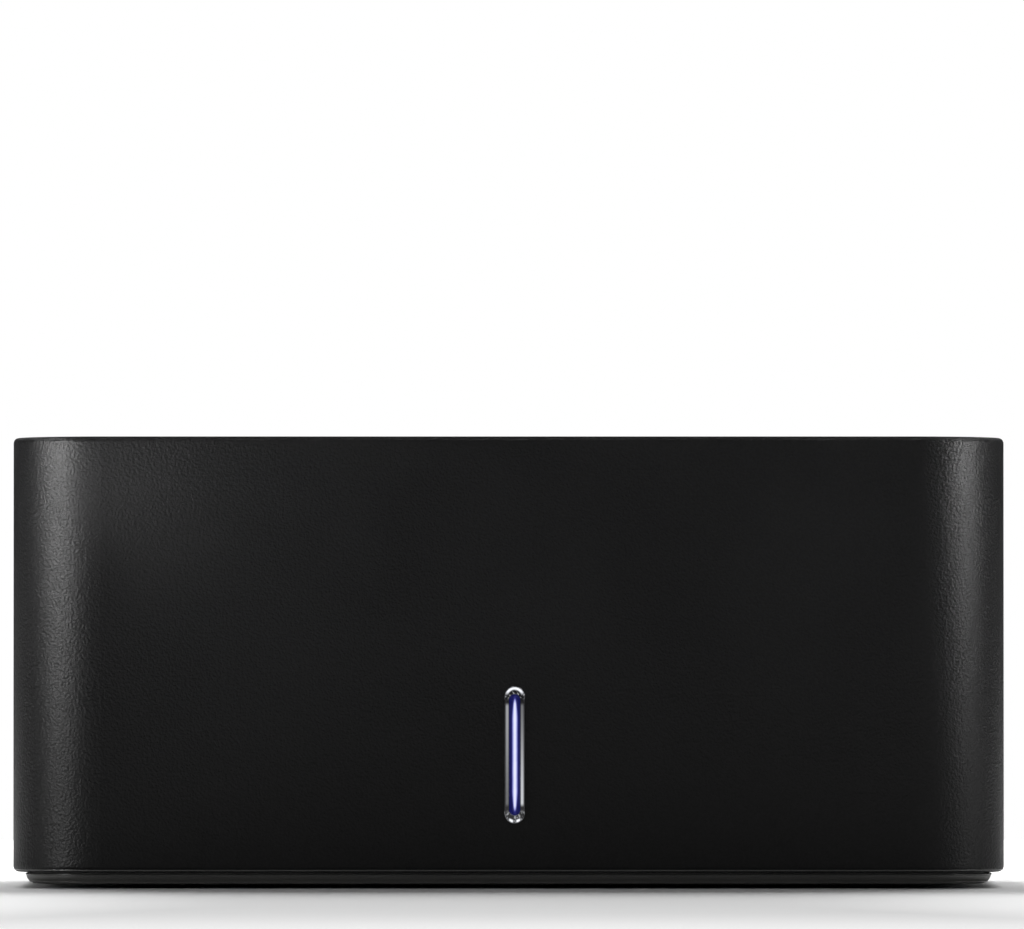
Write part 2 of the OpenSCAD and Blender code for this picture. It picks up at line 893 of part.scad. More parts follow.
module capacitors() {
    color("#b9bcc0")
        for (i = [0 : 2])
            translate([capacitor_x + i * capacitor_pitch, front_row_y, board_top])
                difference() {
                    cylinder(r = capacitor_r, h = capacitor_h);
                    translate([0, 0, capacitor_groove_z])
                        rotate_extrude()
                            translate([capacitor_r + capacitor_groove / 2, 0])
                                circle(capacitor_groove, $fn = 24);
                }
}

module regulators() {
    color("#1b1b1c")
        for (i = [0, 1])
            package(regulator_x, chip_row_y + i * regulator_pitch, [regulator_w, regulator_d, regulator_h]);
}

module chip_parts() {
    rows = 2;
    columns = 6;
    color("#9a8a6c")
        for (i = [0 : columns - 1], j = [0 : rows - 1])
            package(small_x + i * small_pitch, small_y + j * small_row, [small_w, small_d, small_h]);
}

// Outline of the data socket's mouth, upright, from the middle of its lower edge
mouth_w = 8.6;
mouth_h = 5.2;
mouth_cut = 1.2;
upper_w = 5.8;
upper_h = 2.2;
mouth_low = 1.2;
function mouth_outline() = [
    [-mouth_w / 2, 0], [mouth_w / 2, 0],
    [mouth_w / 2, mouth_h - mouth_cut], [mouth_w / 2 - mouth_cut, mouth_h],
    [upper_w / 2, mouth_h], [upper_w / 2, mouth_h + upper_h],
    [-upper_w / 2, mouth_h + upper_h], [-upper_w / 2, mouth_h],
    [-mouth_w / 2 + mouth_cut, mouth_h], [-mouth_w / 2, mouth_h - mouth_cut]
];
tongue_w = 5.6;
tongue_h = 2;
tongue_z = mouth_low + 1.4;
data_strip_w = 0.8;

module data_shell() {
    color("#c3c5c8")
        translate([data_x, socket_front - data_d, board_top])
            difference() {
                translate([-data_w / 2, 0, 0])
                    cube([data_w, data_d, data_h]);
                translate([-data_w / 2 + data_wall, data_wall, -past])
                    cube([data_w - 2 * data_wall, data_d, data_h - data_wall + past]);
            }
}

module data_core() {
    color("#1d55b4")
        translate([data_x, socket_front - data_d + data_wall, board_top]) {
            difference() {
                translate([-data_w / 2 + data_wall, 0, 0])
                    cube([data_w - 2 * data_wall, data_d - data_wall - 0.3, data_h - data_wall]);
                translate([0, data_d + past, mouth_low])
                    rotate([90, 0, 0])
                        linear_extrude(data_mouth + data_wall + past)
                            polygon(mouth_outline());
            }
            translate([-tongue_w / 2, data_d - data_mouth - 1, tongue_z])
                cube([tongue_w, data_mouth - 1, tongue_h]);
        }
}

module data_contacts() {
    strip_l = data_mouth - 2.6;
    start = socket_front - data_mouth + 0.2;
    color("#d6b04a") {
        for (i = [-3 : 2 : 3])
            translate([data_x + i * 0.7 - data_strip_w / 2, start, board_top + tongue_z + tongue_h])
                cube([data_strip_w, strip_l, 0.2]);
        for (i = [-2 : 2])
            translate([data_x + i - 0.3, start, board_top + mouth_low + mouth_h + upper_h - 0.2])
                cube([0.6, strip_l, 0.2]);
    }
}

module inlet_body() {
    color("#171717")
        difference() {
            translate([inlet_x - inlet_w / 2, socket_front - inlet_d, board_top])
                cube([inlet_w, inlet_d, inlet_h]);
            translate([inlet_x, socket_front - inlet_mouth, inlet_z])
                rotate([-90, 0, 0])
                    cylinder(r = inlet_bore_r, h = inlet_mouth + past);
            translate([inlet_x - 1, socket_front - inlet_mouth, inlet_z - inlet_bore_r - 0.5])
                cube([2, inlet_mouth - 1.4, inlet_bore_r]);
        }
}

module inlet_pin() {
    nose = 0.4;
    pin_l = inlet_mouth - 0.8;
    color("#c9cbcd")
        translate([inlet_x, socket_front - inlet_mouth, inlet_z])
            rotate([-90, 0, 0]) {
                cylinder(r = inlet_pin_r, h = pin_l - nose);
                translate([0, 0, pin_l - nose])
                    cylinder(r1 = inlet_pin_r, r2 = inlet_pin_r - nose, h = nose);
            }
}

module inlet_leaf() {
    leaf_t = 0.3;
    color("#c9cbcd")
        translate([inlet_x - 0.8, socket_front - inlet_mouth, inlet_z - inlet_bore_r - 0.5])
            cube([1.6, inlet_mouth - 2, leaf_t]);
}

// Places of the switch's three terminals
module at_terminals() {
    for (i = [-1 : 1])
        translate([switch_x + i * 2.6, switch_front - switch_d + terminal_set, 0])
            children();
}

module switch_body() {
    well_w = rocker_w + 2 * rocker_gap;
    well_h = rocker_h + 5 * rocker_gap;
    well_d = 6.4;
    color("#141414")
        difference() {
            translate([switch_x - switch_w / 2, switch_front - switch_d, board_top])
                cube([switch_w, switch_d, switch_h]);
            translate([switch_x - well_w / 2, switch_front - well_d, switch_z - well_h / 2])
                cube([well_w, well_d + past, well_h]);
            translate([switch_x, rocker_y, switch_z])
                rod_x(-switch_w / 2 - past, switch_w / 2 + past, rocker_pin_r + run_gap);
        }
}

// Rocker with a shallow V across its face, resting with its upper end out
module switch_rocker() {
    face_mid = rocker_back - 0.2;
    face_end = rocker_back + 0.6;
    back = -1.6;
    half = rocker_h / 2;
    color("#101010")
        translate([switch_x, rocker_y, switch_z]) {
            rotate([-rocker_tilt, 0, 0])
                rotate([90, 0, 90])
                    linear_extrude(rocker_w, center = true)
                        polygon([
                            [back, -half], [face_end, -half], [face_mid, 0], [face_end, half], [back, half]
                        ]);
            rod_x(-switch_w / 2 + 0.2, switch_w / 2 - 0.2, rocker_pin_r);
        }
}

module switch_terminals() {
    color("#c9cbcd")
        at_terminals()
            translate([0, 0, board_z - 1.8])
                cylinder(r = terminal_r, h = board_t + 1.8);
}

module light_bezel() {
    bezel_l = wall_t + light_proud + light_flange_t;
    color("#dfe6ea")
        translate([light_x, 0, light_z])
            difference() {
                union() {
                    translate([0, front_y - light_proud, 0])
                        upright_bar(light_w, light_h, bezel_l - light_flange_t / 2);
                    translate([0, inner_front, 0])
                        upright_bar(light_w + 2 * light_flange, light_h + 2 * light_flange, light_flange_t);
                }
                translate([0, front_y - light_proud - past, 0])
                    upright_bar(rod_w + 2 * run_gap, rod_h + 2 * run_gap, bezel_l + 2 * past);
            }
}

// Glowing rod with a half-round front
module light_rod() {
    nose_y = rod_front + rod_w / 2;
    color("#2a35d8")
        translate([light_x, nose_y, light_z]) {
            upright_bar(rod_w, rod_h, rod_back - nose_y);
            cylinder(r = rod_w / 2, h = rod_h - rod_w, center = true);
            for (side = [-1, 1])
                translate([0, 0, side * (rod_h - rod_w) / 2])
                    sphere(rod_w / 2);
        }
}

module status_led() {
    led_front = rod_back + led_gap;
    collar = 0.8;
    lead_w = 0.5;
    lead_set = 0.9;
    color("#cfdcf4")
        translate([light_x, led_front, light_z]) {
            rotate([-90, 0, 0]) {
                translate([0, 0, led_r])
                    cylinder(r = led_r, h = led_l - led_r);
                translate([0, 0, led_r])
                    sphere(led_r);
                translate([0, 0, led_l - collar])
                    cylinder(r = led_r + 0.3, h = collar);
            }
            for (sx = [-1, 1])
                translate([sx * lead_set, 0, 0])
                    box([-lead_w / 2, led_l - lead_w, board_top - light_z],
                        [lead_w / 2, led_l + lead_w, lead_w / 2]);
        }
}

housing();
base_plate();
foot(-1, -1);  // foot_front_left
foot(1, -1);  // foot_front_right
foot(-1, 1);  // foot_rear_left
foot(1, 1);  // foot_rear_right
base_screws();
bay_frame();
frame_screws();
main_flap();
main_flap_pin();
main_flap_spring();
small_flap();
small_flap_pin();
small_flap_spring();
main_board();
board_screws();
drive_connector();
drive_contacts();
bridge_chip();
memory_chip();
crystal();
inductors();
capacitors();
regulators();
chip_parts();
data_shell();
data_core();
data_contacts();
inlet_body();
inlet_pin();
inlet_leaf();
switch_body();
switch_rocker();
switch_terminals();
light_bezel();
light_rod();
status_led();
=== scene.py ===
"""Looks of a desktop docking station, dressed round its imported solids."""
import json
import math

import bmesh
import bpy
from mathutils import Matrix, Vector


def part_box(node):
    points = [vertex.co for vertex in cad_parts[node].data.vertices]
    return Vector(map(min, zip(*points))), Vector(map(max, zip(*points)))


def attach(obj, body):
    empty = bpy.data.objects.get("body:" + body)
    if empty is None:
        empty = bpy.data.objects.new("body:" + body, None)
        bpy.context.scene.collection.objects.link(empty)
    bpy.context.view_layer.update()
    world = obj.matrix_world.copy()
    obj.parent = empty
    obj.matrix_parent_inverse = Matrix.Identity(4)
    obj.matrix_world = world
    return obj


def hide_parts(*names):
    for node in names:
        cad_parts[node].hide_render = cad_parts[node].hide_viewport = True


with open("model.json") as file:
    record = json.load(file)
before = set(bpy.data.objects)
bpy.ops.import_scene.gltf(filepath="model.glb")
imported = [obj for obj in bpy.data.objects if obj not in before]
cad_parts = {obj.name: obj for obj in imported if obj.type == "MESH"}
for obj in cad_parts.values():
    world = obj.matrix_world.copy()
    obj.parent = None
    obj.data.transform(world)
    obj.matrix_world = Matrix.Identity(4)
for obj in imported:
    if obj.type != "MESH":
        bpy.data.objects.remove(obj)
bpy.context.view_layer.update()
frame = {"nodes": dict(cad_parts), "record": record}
nodes = frame["nodes"]
scene = bpy.context.scene
MM = 0.001


# Shader node groups shared by the finishes

def new_group(name, inputs, outputs):
    """An empty shader group with named value inputs (and their defaults) and named outputs."""
    group = bpy.data.node_groups.new(name, "ShaderNodeTree")
    for label, default in inputs.items():
        socket = group.interface.new_socket(label, in_out="INPUT", socket_type="NodeSocketFloat")
        socket.default_value = default
    for label in outputs:
        group.interface.new_socket(label, in_out="OUTPUT", socket_type="NodeSocketFloat")
    return group, group.nodes.new("NodeGroupInput"), group.nodes.new("NodeGroupOutput")


def add(tree, kind, **values):
    """A node of that kind, with properties or unlinked inputs set by name."""
    node = tree.nodes.new(kind)
    for key, value in values.items():
        if hasattr(node, key) and key not in node.inputs:
            setattr(node, key, value)
        else:
            node.inputs[key].default_value = value
    return node


def math_node(tree, operation, a, b=None, clamp=False):
    """A math node fed by sockets or plain numbers."""
    node = tree.nodes.new("ShaderNodeMath")
    node.operation = operation
    node.use_clamp = clamp
    for socket, value in zip(node.inputs, (a, b)):
        if value is None:
            continue
        if isinstance(value, (int, float)):
            socket.default_value = value
        else:
            tree.links.new(value, socket)
    return node.outputs[0]


def spread(tree, value, low, high):
    """A 0 to 1 value spread between two numbers."""
    node = tree.nodes.new("ShaderNodeMapRange")
    tree.links.new(value, node.inputs["Value"])
    node.inputs["To Min"].default_value = low
    node.inputs["To Max"].default_value = high
    return node.outputs["Result"]


def step_between(tree, value, low, high):
    """A smooth step from 0 at low to 1 at high."""
    node = tree.nodes.new("ShaderNodeMapRange")
    node.interpolation_type = "SMOOTHSTEP"
    tree.links.new(value, node.inputs["Value"])
    node.inputs["From Min"].default_value = low
    node.inputs["From Max"].default_value = high
    return node.outputs["Result"]


def product(tree, a, b):
    """One value times another."""
    return math_node(tree, "MULTIPLY", a, b)


def fall_between(tree, value, low, high):
    """A smooth step from 1 at low to 0 at high."""
    return math_node(tree, "SUBTRACT", 1.0, step_between(tree, value, low, high))


def band(tree, value, rise, fall):
    """A smooth band, which rises over its first two places and falls over its last two."""
    return product(tree, step_between(tree, value, *rise), fall_between(tree, value, *fall))


def distance(tree, a, b):
    """Length of the straight way of two steps at right angles."""
    return math_node(tree, "SQRT", math_node(tree, "ADD", product(tree, a, a), product(tree, b, b)))


def make_mould_grain():
    """Fine spark-eroded grain, as a moulding takes it from its tool."""
    group, given, out = new_group("mould_grain", {"Grains per metre": 5000.0}, ["Height", "Speckle"])
    place = group.nodes.new("ShaderNodeTexCoord").outputs["Object"]
    fine = add(group, "ShaderNodeTexNoise", Detail=2.0, Roughness=0.6)
    pits = add(group, "ShaderNodeTexVoronoi")
    pit_share = 0.3
    for texture in (fine, pits):
        group.links.new(place, texture.inputs["Vector"])
        group.links.new(given.outputs[0], texture.inputs["Scale"])
    height = math_node(group, "ADD", fine.outputs[0], product(group, pits.outputs["Distance"], pit_share))
    group.links.new(height, out.inputs["Height"])
    group.links.new(step_between(group, fine.outputs[0], 0.35, 0.65), out.inputs["Speckle"])
    return group


def make_handling():
    """Broad, faint unevenness that moulding and hands leave in a gloss."""
    group, given, out = new_group("handling", {"Patches per metre": 60.0}, ["Patches"])
    place = group.nodes.new("ShaderNodeTexCoord").outputs["Object"]
    broad = add(group, "ShaderNodeTexNoise", Detail=4.0, Roughness=0.55, Distortion=0.4)
    group.links.new(place, broad.inputs["Vector"])
    group.links.new(given.outputs[0], broad.inputs["Scale"])
    group.links.new(step_between(group, broad.outputs[0], 0.3, 0.7), out.inputs["Patches"])
    return group


def make_drawn_lines():
    """Fine lines along X, as rolling and drawing leave them in metal."""
    group, given, out = new_group("drawn_lines", {"Lines per metre": 9000.0}, ["Height"])
    place = group.nodes.new("ShaderNodeTexCoord").outputs["Object"]
    stretch = add(group, "ShaderNodeMapping")
    stretch.inputs["Scale"].default_value = (0.04, 1.0, 1.0)
    lines = add(group, "ShaderNodeTexNoise", Detail=2.0, Roughness=0.5)
    group.links.new(place, stretch.inputs["Vector"])
    group.links.new(stretch.outputs[0], lines.inputs["Vector"])
    group.links.new(given.outputs[0], lines.inputs["Scale"])
    group.links.new(lines.outputs[0], out.inputs["Height"])
    return group


def make_settled_dust():
    """Faint dust on faces that look up."""
    group, given, out = new_group("settled_dust", {"Amount": 0.3}, ["Dust"])
    facing = add(group, "ShaderNodeSeparateXYZ")
    group.links.new(group.nodes.new("ShaderNodeNewGeometry").outputs["Normal"], facing.inputs[0])
    place = group.nodes.new("ShaderNodeTexCoord").outputs["Object"]
    motes = add(group, "ShaderNodeTexNoise", Scale=900.0, Detail=6.0, Roughness=0.7)
    group.links.new(place, motes.inputs["Vector"])
    up = step_between(group, facing.outputs["Z"], 0.6, 1.0)
    lying = product(group, up, step_between(group, motes.outputs[0], 0.5, 0.75))
    group.links.new(product(group, lying, given.outputs[0]), out.inputs["Dust"])
    return group


MOULD_GRAIN = make_mould_grain()
HANDLING = make_handling()
DRAWN_LINES = make_drawn_lines()
SETTLED_DUST = make_settled_dust()


# Finishes

DUST_GREY = (0.09, 0.088, 0.084, 1.0)
ACRYLIC_IOR = 1.49


def new_finish(name):
    """A material with its Principled shader, ready for links."""
    finish = bpy.data.materials.new(name)
    finish.use_nodes = True
    return finish, finish.node_tree, finish.node_tree.nodes["Principled BSDF"]


def placed_group(tree, group, value):
    """One use of a shared group in a material, with its own value."""
    node = tree.nodes.new("ShaderNodeGroup")
    node.node_tree = group
    node.inputs[0].default_value = value
    return node


def mixed(tree, factor):
    """A colour mix, its two colour inputs and its output."""
    mix = tree.nodes.new("ShaderNodeMix")
    mix.data_type = "RGBA"
    tree.links.new(factor, mix.inputs["Factor"])
    return mix.inputs[6], mix.inputs[7], mix.outputs[2]


def two_tones(tree, factor, low, high):
    """A colour between two tones."""
    first, second, colour = mixed(tree, factor)
    first.default_value = (*low, 1.0)
    second.default_value = (*high, 1.0)
    return colour


def bump(tree, shader, height, depth, strength):
    """A bump of real depth, in metres, into the shader's normal."""
    node = add(tree, "ShaderNodeBump", Strength=strength, Distance=depth)
    tree.links.new(height, node.inputs["Height"])
    tree.links.new(node.outputs[0], shader.inputs["Normal"])


def moulded(name, dark, light, rough, grains, depth, gloss=0.3, dust=0.0, relief=0.35):
    """Moulded plastic with a tool grain, faint handling marks and settled dust."""
    finish, tree, shader = new_finish(name)
    grain = placed_group(tree, MOULD_GRAIN, grains)
    patches = placed_group(tree, HANDLING, 45.0).outputs[0]
    tone = math_node(tree, "ADD", product(tree, grain.outputs["Speckle"], 0.6), product(tree, patches, 0.4))
    colour = two_tones(tree, tone, dark, light)
    if dust:
        clean, dusty, mix = mixed(tree, placed_group(tree, SETTLED_DUST, dust).outputs[0])
        tree.links.new(colour, clean)
        dusty.default_value = DUST_GREY
        colour = mix
    tree.links.new(colour, shader.inputs["Base Color"])
    tree.links.new(spread(tree, patches, rough - 0.03, rough + 0.03), shader.inputs["Roughness"])
    shader.inputs["Specular IOR Level"].default_value = gloss
    bump(tree, shader, grain.outputs["Height"], depth, relief)
    return finish


def metal(name, dark, light, rough):
    """Plated or drawn metal with fine lines and a slightly uneven gloss."""
    finish, tree, shader = new_finish(name)
    drawn = placed_group(tree, DRAWN_LINES, 9000.0).outputs[0]
    patches = placed_group(tree, HANDLING, 160.0).outputs[0]
    tree.links.new(two_tones(tree, patches, dark, light), shader.inputs["Base Color"])
    tree.links.new(spread(tree, drawn, rough - 0.08, rough + 0.1), shader.inputs["Roughness"])
    shader.inputs["Metallic"].default_value = 1.0
    bump(tree, shader, drawn, 0.02 * MM, 0.25)
    return finish


def solder_mask(name):
    """Green mask over copper tracks."""
    finish, tree, shader = new_finish(name)
    place = tree.nodes.new("ShaderNodeTexCoord").outputs["Object"]
    tracks = add(tree, "ShaderNodeTexVoronoi", feature="F1", distance="CHEBYCHEV",
                 Scale=420.0, Randomness=0.75)
    tree.links.new(place, tracks.inputs["Vector"])
    rings = math_node(tree, "FRACT", product(tree, tracks.outputs["Distance"], 4.0))
    copper = step_between(tree, rings, 0.45, 0.55)
    green = two_tones(tree, copper, (0.006, 0.05, 0.018), (0.014, 0.115, 0.04))
    tree.links.new(green, shader.inputs["Base Color"])
    patches = placed_group(tree, HANDLING, 90.0).outputs[0]
    tree.links.new(spread(tree, patches, 0.22, 0.34), shader.inputs["Roughness"])
    bump(tree, shader, copper, 0.04 * MM, 0.5)
    return finish


def clear_plastic(name, tint, rough, through):
    """Clear acrylic with faint flow marks."""
    finish, tree, shader = new_finish(name)
    patches = placed_group(tree, HANDLING, 700.0).outputs[0]
    tree.links.new(two_tones(tree, patches, [c * 0.9 for c in tint], tint), shader.inputs["Base Color"])
    tree.links.new(spread(tree, patches, rough, rough + 0.05), shader.inputs["Roughness"])
    shader.inputs["Transmission Weight"].default_value = through
    shader.inputs["IOR"].default_value = ACRYLIC_IOR
    bump(tree, shader, patches, 0.03 * MM, 0.2)
    return finish


def place_in(tree, node):
    """Place of a surface point across and along the middle of a node, in metres."""
    place = add(tree, "ShaderNodeSeparateXYZ")
    tree.links.new(tree.nodes.new("ShaderNodeTexCoord").outputs["Object"], place.inputs[0])
    low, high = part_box(node)
    middle = (low + high) / 2
    return (math_node(tree, "SUBTRACT", place.outputs["X"], middle.x),
            math_node(tree, "SUBTRACT", place.outputs["Z"], middle.z))


def lit_core(name):
    """Deep blue light pipe with a bright streak down its middle that thins out towards both ends."""
    off_middle, thin, thick = 0.03 * MM, 0.2 * MM, 0.48 * MM
    tones = ((0.0, (0.006, 0.007, 0.075)), (0.22, (0.03, 0.03, 0.22)),
             (0.5, (0.36, 0.38, 0.78)), (0.8, (0.8, 0.82, 1.0)))
    finish, tree, shader = new_finish(name)
    across, along = place_in(tree, "light_rod")
    across = math_node(tree, "ABSOLUTE", math_node(tree, "SUBTRACT", across, off_middle))
    along = math_node(tree, "ABSOLUTE", along)
    half_width = spread(tree, fall_between(tree, along, 4.5 * MM, 8.2 * MM), thin, thick)
    streak = math_node(tree, "SUBTRACT", 1.0, math_node(tree, "DIVIDE", across, half_width), clamp=True)
    fade = fall_between(tree, along, 6.5 * MM, 7.9 * MM)
    swirl = placed_group(tree, HANDLING, 500.0).outputs[0]
    bright = product(tree, product(tree, streak, fade), spread(tree, swirl, 0.9, 1.0))
    glow = tree.nodes.new("ShaderNodeValToRGB")
    tree.links.new(bright, glow.inputs[0])
    while len(glow.color_ramp.elements) < len(tones):
        glow.color_ramp.elements.new(0.5)
    for stop, (at, tone) in zip(glow.color_ramp.elements, tones):
        stop.position, stop.color = at, (*tone, 1.0)
    tree.links.new(glow.outputs["Color"], shader.inputs["Emission Color"])
    shader.inputs["Emission Strength"].default_value = 1.0
    deep_blue = two_tones(tree, swirl, (0.004, 0.005, 0.03), (0.006, 0.008, 0.05))
    tree.links.new(deep_blue, shader.inputs["Base Color"])
    tree.links.new(spread(tree, swirl, 0.16, 0.24), shader.inputs["Roughness"])
    return finish


def rim_painted_reflections(name):
    """Clear acrylic round the light pipe: painted reflections on its flanks, and dark ends with painted
    bright crescents and glints.
    """
    end_middle = 7.65 * MM
    unlit, lit, pale = (0.004, 0.004, 0.005), (0.93, 0.95, 1.0), (0.02, 0.02, 0.022)
    finish, tree, shader = new_finish(name)
    across, along = place_in(tree, "light_bezel")
    outward, endward = math_node(tree, "ABSOLUTE", across), math_node(tree, "ABSOLUTE", along)

    # Painted reflections: the left flank is brighter towards its top, the right one towards its foot
    rise = step_between(tree, along, -7.0 * MM, 7.0 * MM)
    is_right = step_between(tree, across, -0.1 * MM, 0.1 * MM)
    left = product(tree, spread(tree, rise, 0.12, 0.34), math_node(tree, "SUBTRACT", 1.0, is_right))
    right = product(tree, spread(tree, rise, 0.6, 0.14), is_right)
    wall = band(tree, outward, (0.72 * MM, 0.9 * MM), (1.02 * MM, 1.28 * MM))
    painted_flanks = product(tree, product(tree, math_node(tree, "ADD", left, right), wall),
                     fall_between(tree, endward, 6.3 * MM, 6.9 * MM))

    # Painted highlights: a crescent over the top end, two lobes under the low end and glinting flecks in both
    reach = distance(tree, across, math_node(tree, "SUBTRACT", endward, end_middle))
    ring = band(tree, reach, (0.8 * MM, 1.0 * MM), (1.16 * MM, 1.28 * MM))
    top = product(tree, ring, step_between(tree, along, 7.75 * MM, 8.4 * MM))
    lobes = band(tree, outward, (0.1 * MM, 0.35 * MM), (0.6 * MM, 0.85 * MM))
    foot = product(tree, product(tree, ring, lobes), fall_between(tree, along, -8.55 * MM, -8.2 * MM))
    flecks = placed_group(tree, HANDLING, 2600.0).outputs[0]
    at_end = step_between(tree, endward, 7.1 * MM, 7.9 * MM)
    painted_glints = product(tree, step_between(tree, flecks, 0.45, 0.85), at_end)

    dimmer = math_node(tree, "MAXIMUM", painted_flanks, product(tree, painted_glints, 0.3))
    painted_shine = math_node(tree, "MAXIMUM", dimmer, math_node(tree, "MAXIMUM", top, foot), clamp=True)
    tree.links.new(two_tones(tree, painted_shine, unlit, lit), shader.inputs["Emission Color"])
    shader.inputs["Emission Strength"].default_value = 1.0
    tree.links.new(two_tones(tree, flecks, unlit, pale), shader.inputs["Base Color"])
    tree.links.new(spread(tree, flecks, 0.06, 0.12), shader.inputs["Roughness"])
    shader.inputs["IOR"].default_value = ACRYLIC_IOR
    shader.inputs["Transmission Weight"].default_value = 0.3
    return finish


BLACK = (0.0018, 0.0018, 0.0019)
FINE = 4200.0  # grains per metre of a fine tool grain
FINISHES = {
    "housing_plastic": moulded("housing_plastic", (0.0024, 0.0024, 0.0025), (0.0064, 0.0064, 0.0066), 0.4,
                               2800.0, 0.12 * MM, gloss=0.2, dust=0.02, relief=0.7),
    "base_plastic": moulded("base_plastic", (0.028, 0.028, 0.025), (0.042, 0.042, 0.037), 0.4, FINE,
                            0.04 * MM, gloss=1.0),
    "foot_rubber": moulded("foot_rubber", (0.007, 0.007, 0.007), (0.013, 0.013, 0.013), 0.82, 2600.0,
                           0.06 * MM),
    "dark_steel": metal("dark_steel", (0.045, 0.045, 0.05), (0.07, 0.07, 0.075), 0.36),
    "frame_plastic": moulded("frame_plastic", (0.016, 0.016, 0.017), (0.026, 0.026, 0.027), 0.5, 3600.0,
                             0.04 * MM),
    "bright_steel": metal("bright_steel", (0.5, 0.5, 0.51), (0.6, 0.6, 0.6), 0.3),
    "flap_plastic": moulded("flap_plastic", BLACK, (0.009, 0.009, 0.0095), 0.38, 4800.0, 0.04 * MM,
                            dust=0.03),
    "spring_steel": metal("spring_steel", (0.52, 0.52, 0.53), (0.64, 0.64, 0.65), 0.24),
    "board_green": solder_mask("board_green"),
    "connector_plastic": moulded("connector_plastic", BLACK, (0.01, 0.01, 0.01), 0.45, FINE, 0.03 * MM),
    "contact_gold": metal("contact_gold", (0.74, 0.5, 0.15), (0.86, 0.63, 0.23), 0.26),
    "chip_black": moulded("chip_black", (0.01, 0.01, 0.01), (0.018, 0.018, 0.018), 0.55, 7000.0, 0.03 * MM),
    "can_metal": metal("can_metal", (0.62, 0.63, 0.64), (0.72, 0.73, 0.74), 0.32),
    "ferrite": moulded("ferrite", (0.03, 0.03, 0.032), (0.055, 0.055, 0.057), 0.62, 3000.0, 0.05 * MM),
    "chip_ceramic": moulded("chip_ceramic", (0.28, 0.22, 0.14), (0.42, 0.34, 0.22), 0.5, 8000.0, 0.03 * MM),
    "socket_metal": metal("socket_metal", (0.52, 0.53, 0.54), (0.64, 0.65, 0.66), 0.26),
    "socket_blue": moulded("socket_blue", (0.008, 0.06, 0.34), (0.012, 0.09, 0.45), 0.36, FINE, 0.02 * MM,
                           gloss=0.5),
    "switch_plastic": moulded("switch_plastic", BLACK, (0.01, 0.01, 0.01), 0.42, FINE, 0.03 * MM),
    "rocker_plastic": moulded("rocker_plastic", (0.004, 0.004, 0.004), (0.007, 0.007, 0.007), 0.26, FINE,
                              0.01 * MM, gloss=0.5),
    # The rim's emission paints reflections and highlights on the clear acrylic
    "light_clear": rim_painted_reflections("light_clear"),
    "light_blue": lit_core("light_blue"),
    # Thin glossy lands whose lighter grey paints highlight lines along the rim and the base plate's edges
    "rim_painted_highlight": moulded("rim_painted_highlight", (0.07, 0.07, 0.068), (0.09, 0.09, 0.088), 0.25, FINE, 0.01 * MM,
                        gloss=0.7),
    "edge_painted_highlight": moulded("edge_painted_highlight", (0.06, 0.06, 0.057), (0.08, 0.08, 0.076), 0.25, FINE, 0.01 * MM,
                             gloss=0.7),
    "led_clear": clear_plastic("led_clear", (0.8, 0.87, 0.97), 0.06, 0.9),
    "printed_white": moulded("printed_white", (0.55, 0.55, 0.55), (0.68, 0.68, 0.67), 0.5, FINE, 0.01 * MM),
}

slot_of = {part["node"]: part["material_slot"] for part in frame["record"]["subparts"]}
for name, piece in nodes.items():
    finish = FINISHES[slot_of[name]]
    for slot in piece.material_slots:
        slot.material = finish
    if not piece.material_slots:
        piece.data.materials.append(finish)


# Made pieces

def new_piece(name, mesh, body, finish, stands_for=()):
    """A made piece riding on a body, with a finish by name."""
    for face in mesh.polygons:
        face.use_smooth = True
    mesh.materials.append(FINISHES[finish])
    piece = bpy.data.objects.new(name, mesh)
    scene.collection.objects.link(piece)
    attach(piece, body)
    if stands_for:
        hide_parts(*stands_for)
    return piece


def mesh_of(grid, name):
    """A mesh made from a worked grid of points, which is let go."""
    mesh = bpy.data.meshes.new(name)
    grid.to_mesh(mesh)
    grid.free()
    return mesh


def circle(radius, count):
    """Points round a circle."""
    turns = [2 * math.pi * k / count for k in range(count)]
    return [(radius * math.cos(a), radius * math.sin(a)) for a in turns]


def join_rings(grid, here, there):
    """Faces between two rings of as many points."""
    count = len(here)
    for k in range(count):
        after = (k + 1) % count
        grid.faces.new((here[k], here[after], there[after], there[k]))


def wire(name, path, radius, sides=12, closed=False):
    """Mesh of a round wire along a path, with domed ends where it is open."""
    grid = bmesh.new()
    points = [Vector(point) for point in path]
    count = len(points)
    normal = None
    stations = []
    for i, point in enumerate(points):
        after = points[(i + 1) % count] if closed else points[min(i + 1, count - 1)]
        before = points[i - 1] if closed or i else point
        along = (after - before).normalized()
        if normal is None:
            normal = Vector((0, 0, 1)) if abs(along.z) < 0.9 else Vector((1, 0, 0))
        normal = (normal - along * normal.dot(along)).normalized()
        stations.append((point, along, normal, radius))
    if not closed:
        for end, sign in ((0, -1), (-1, 1)):
            point, along, normal, _ = stations[end]
            domes = [(point + sign * along * radius * math.sin(a), along, normal, radius * math.cos(a))
                     for a in (math.radians(30), math.radians(60), math.radians(85))]
            stations = domes[::-1] + stations if end == 0 else stations + domes
    rings = []
    for point, along, normal, r in stations:
        across = along.cross(normal)
        rings.append([grid.verts.new(point + u * normal + v * across) for u, v in circle(r, sides)])
    for here, there in zip(rings, rings[1:]):
        join_rings(grid, here, there)
    if closed:
        join_rings(grid, rings[-1], rings[0])
    else:
        grid.faces.new(rings[0][::-1])
        grid.faces.new(rings[-1])
    bmesh.ops.recalc_face_normals(grid, faces=grid.faces)
    return mesh_of(grid, name)


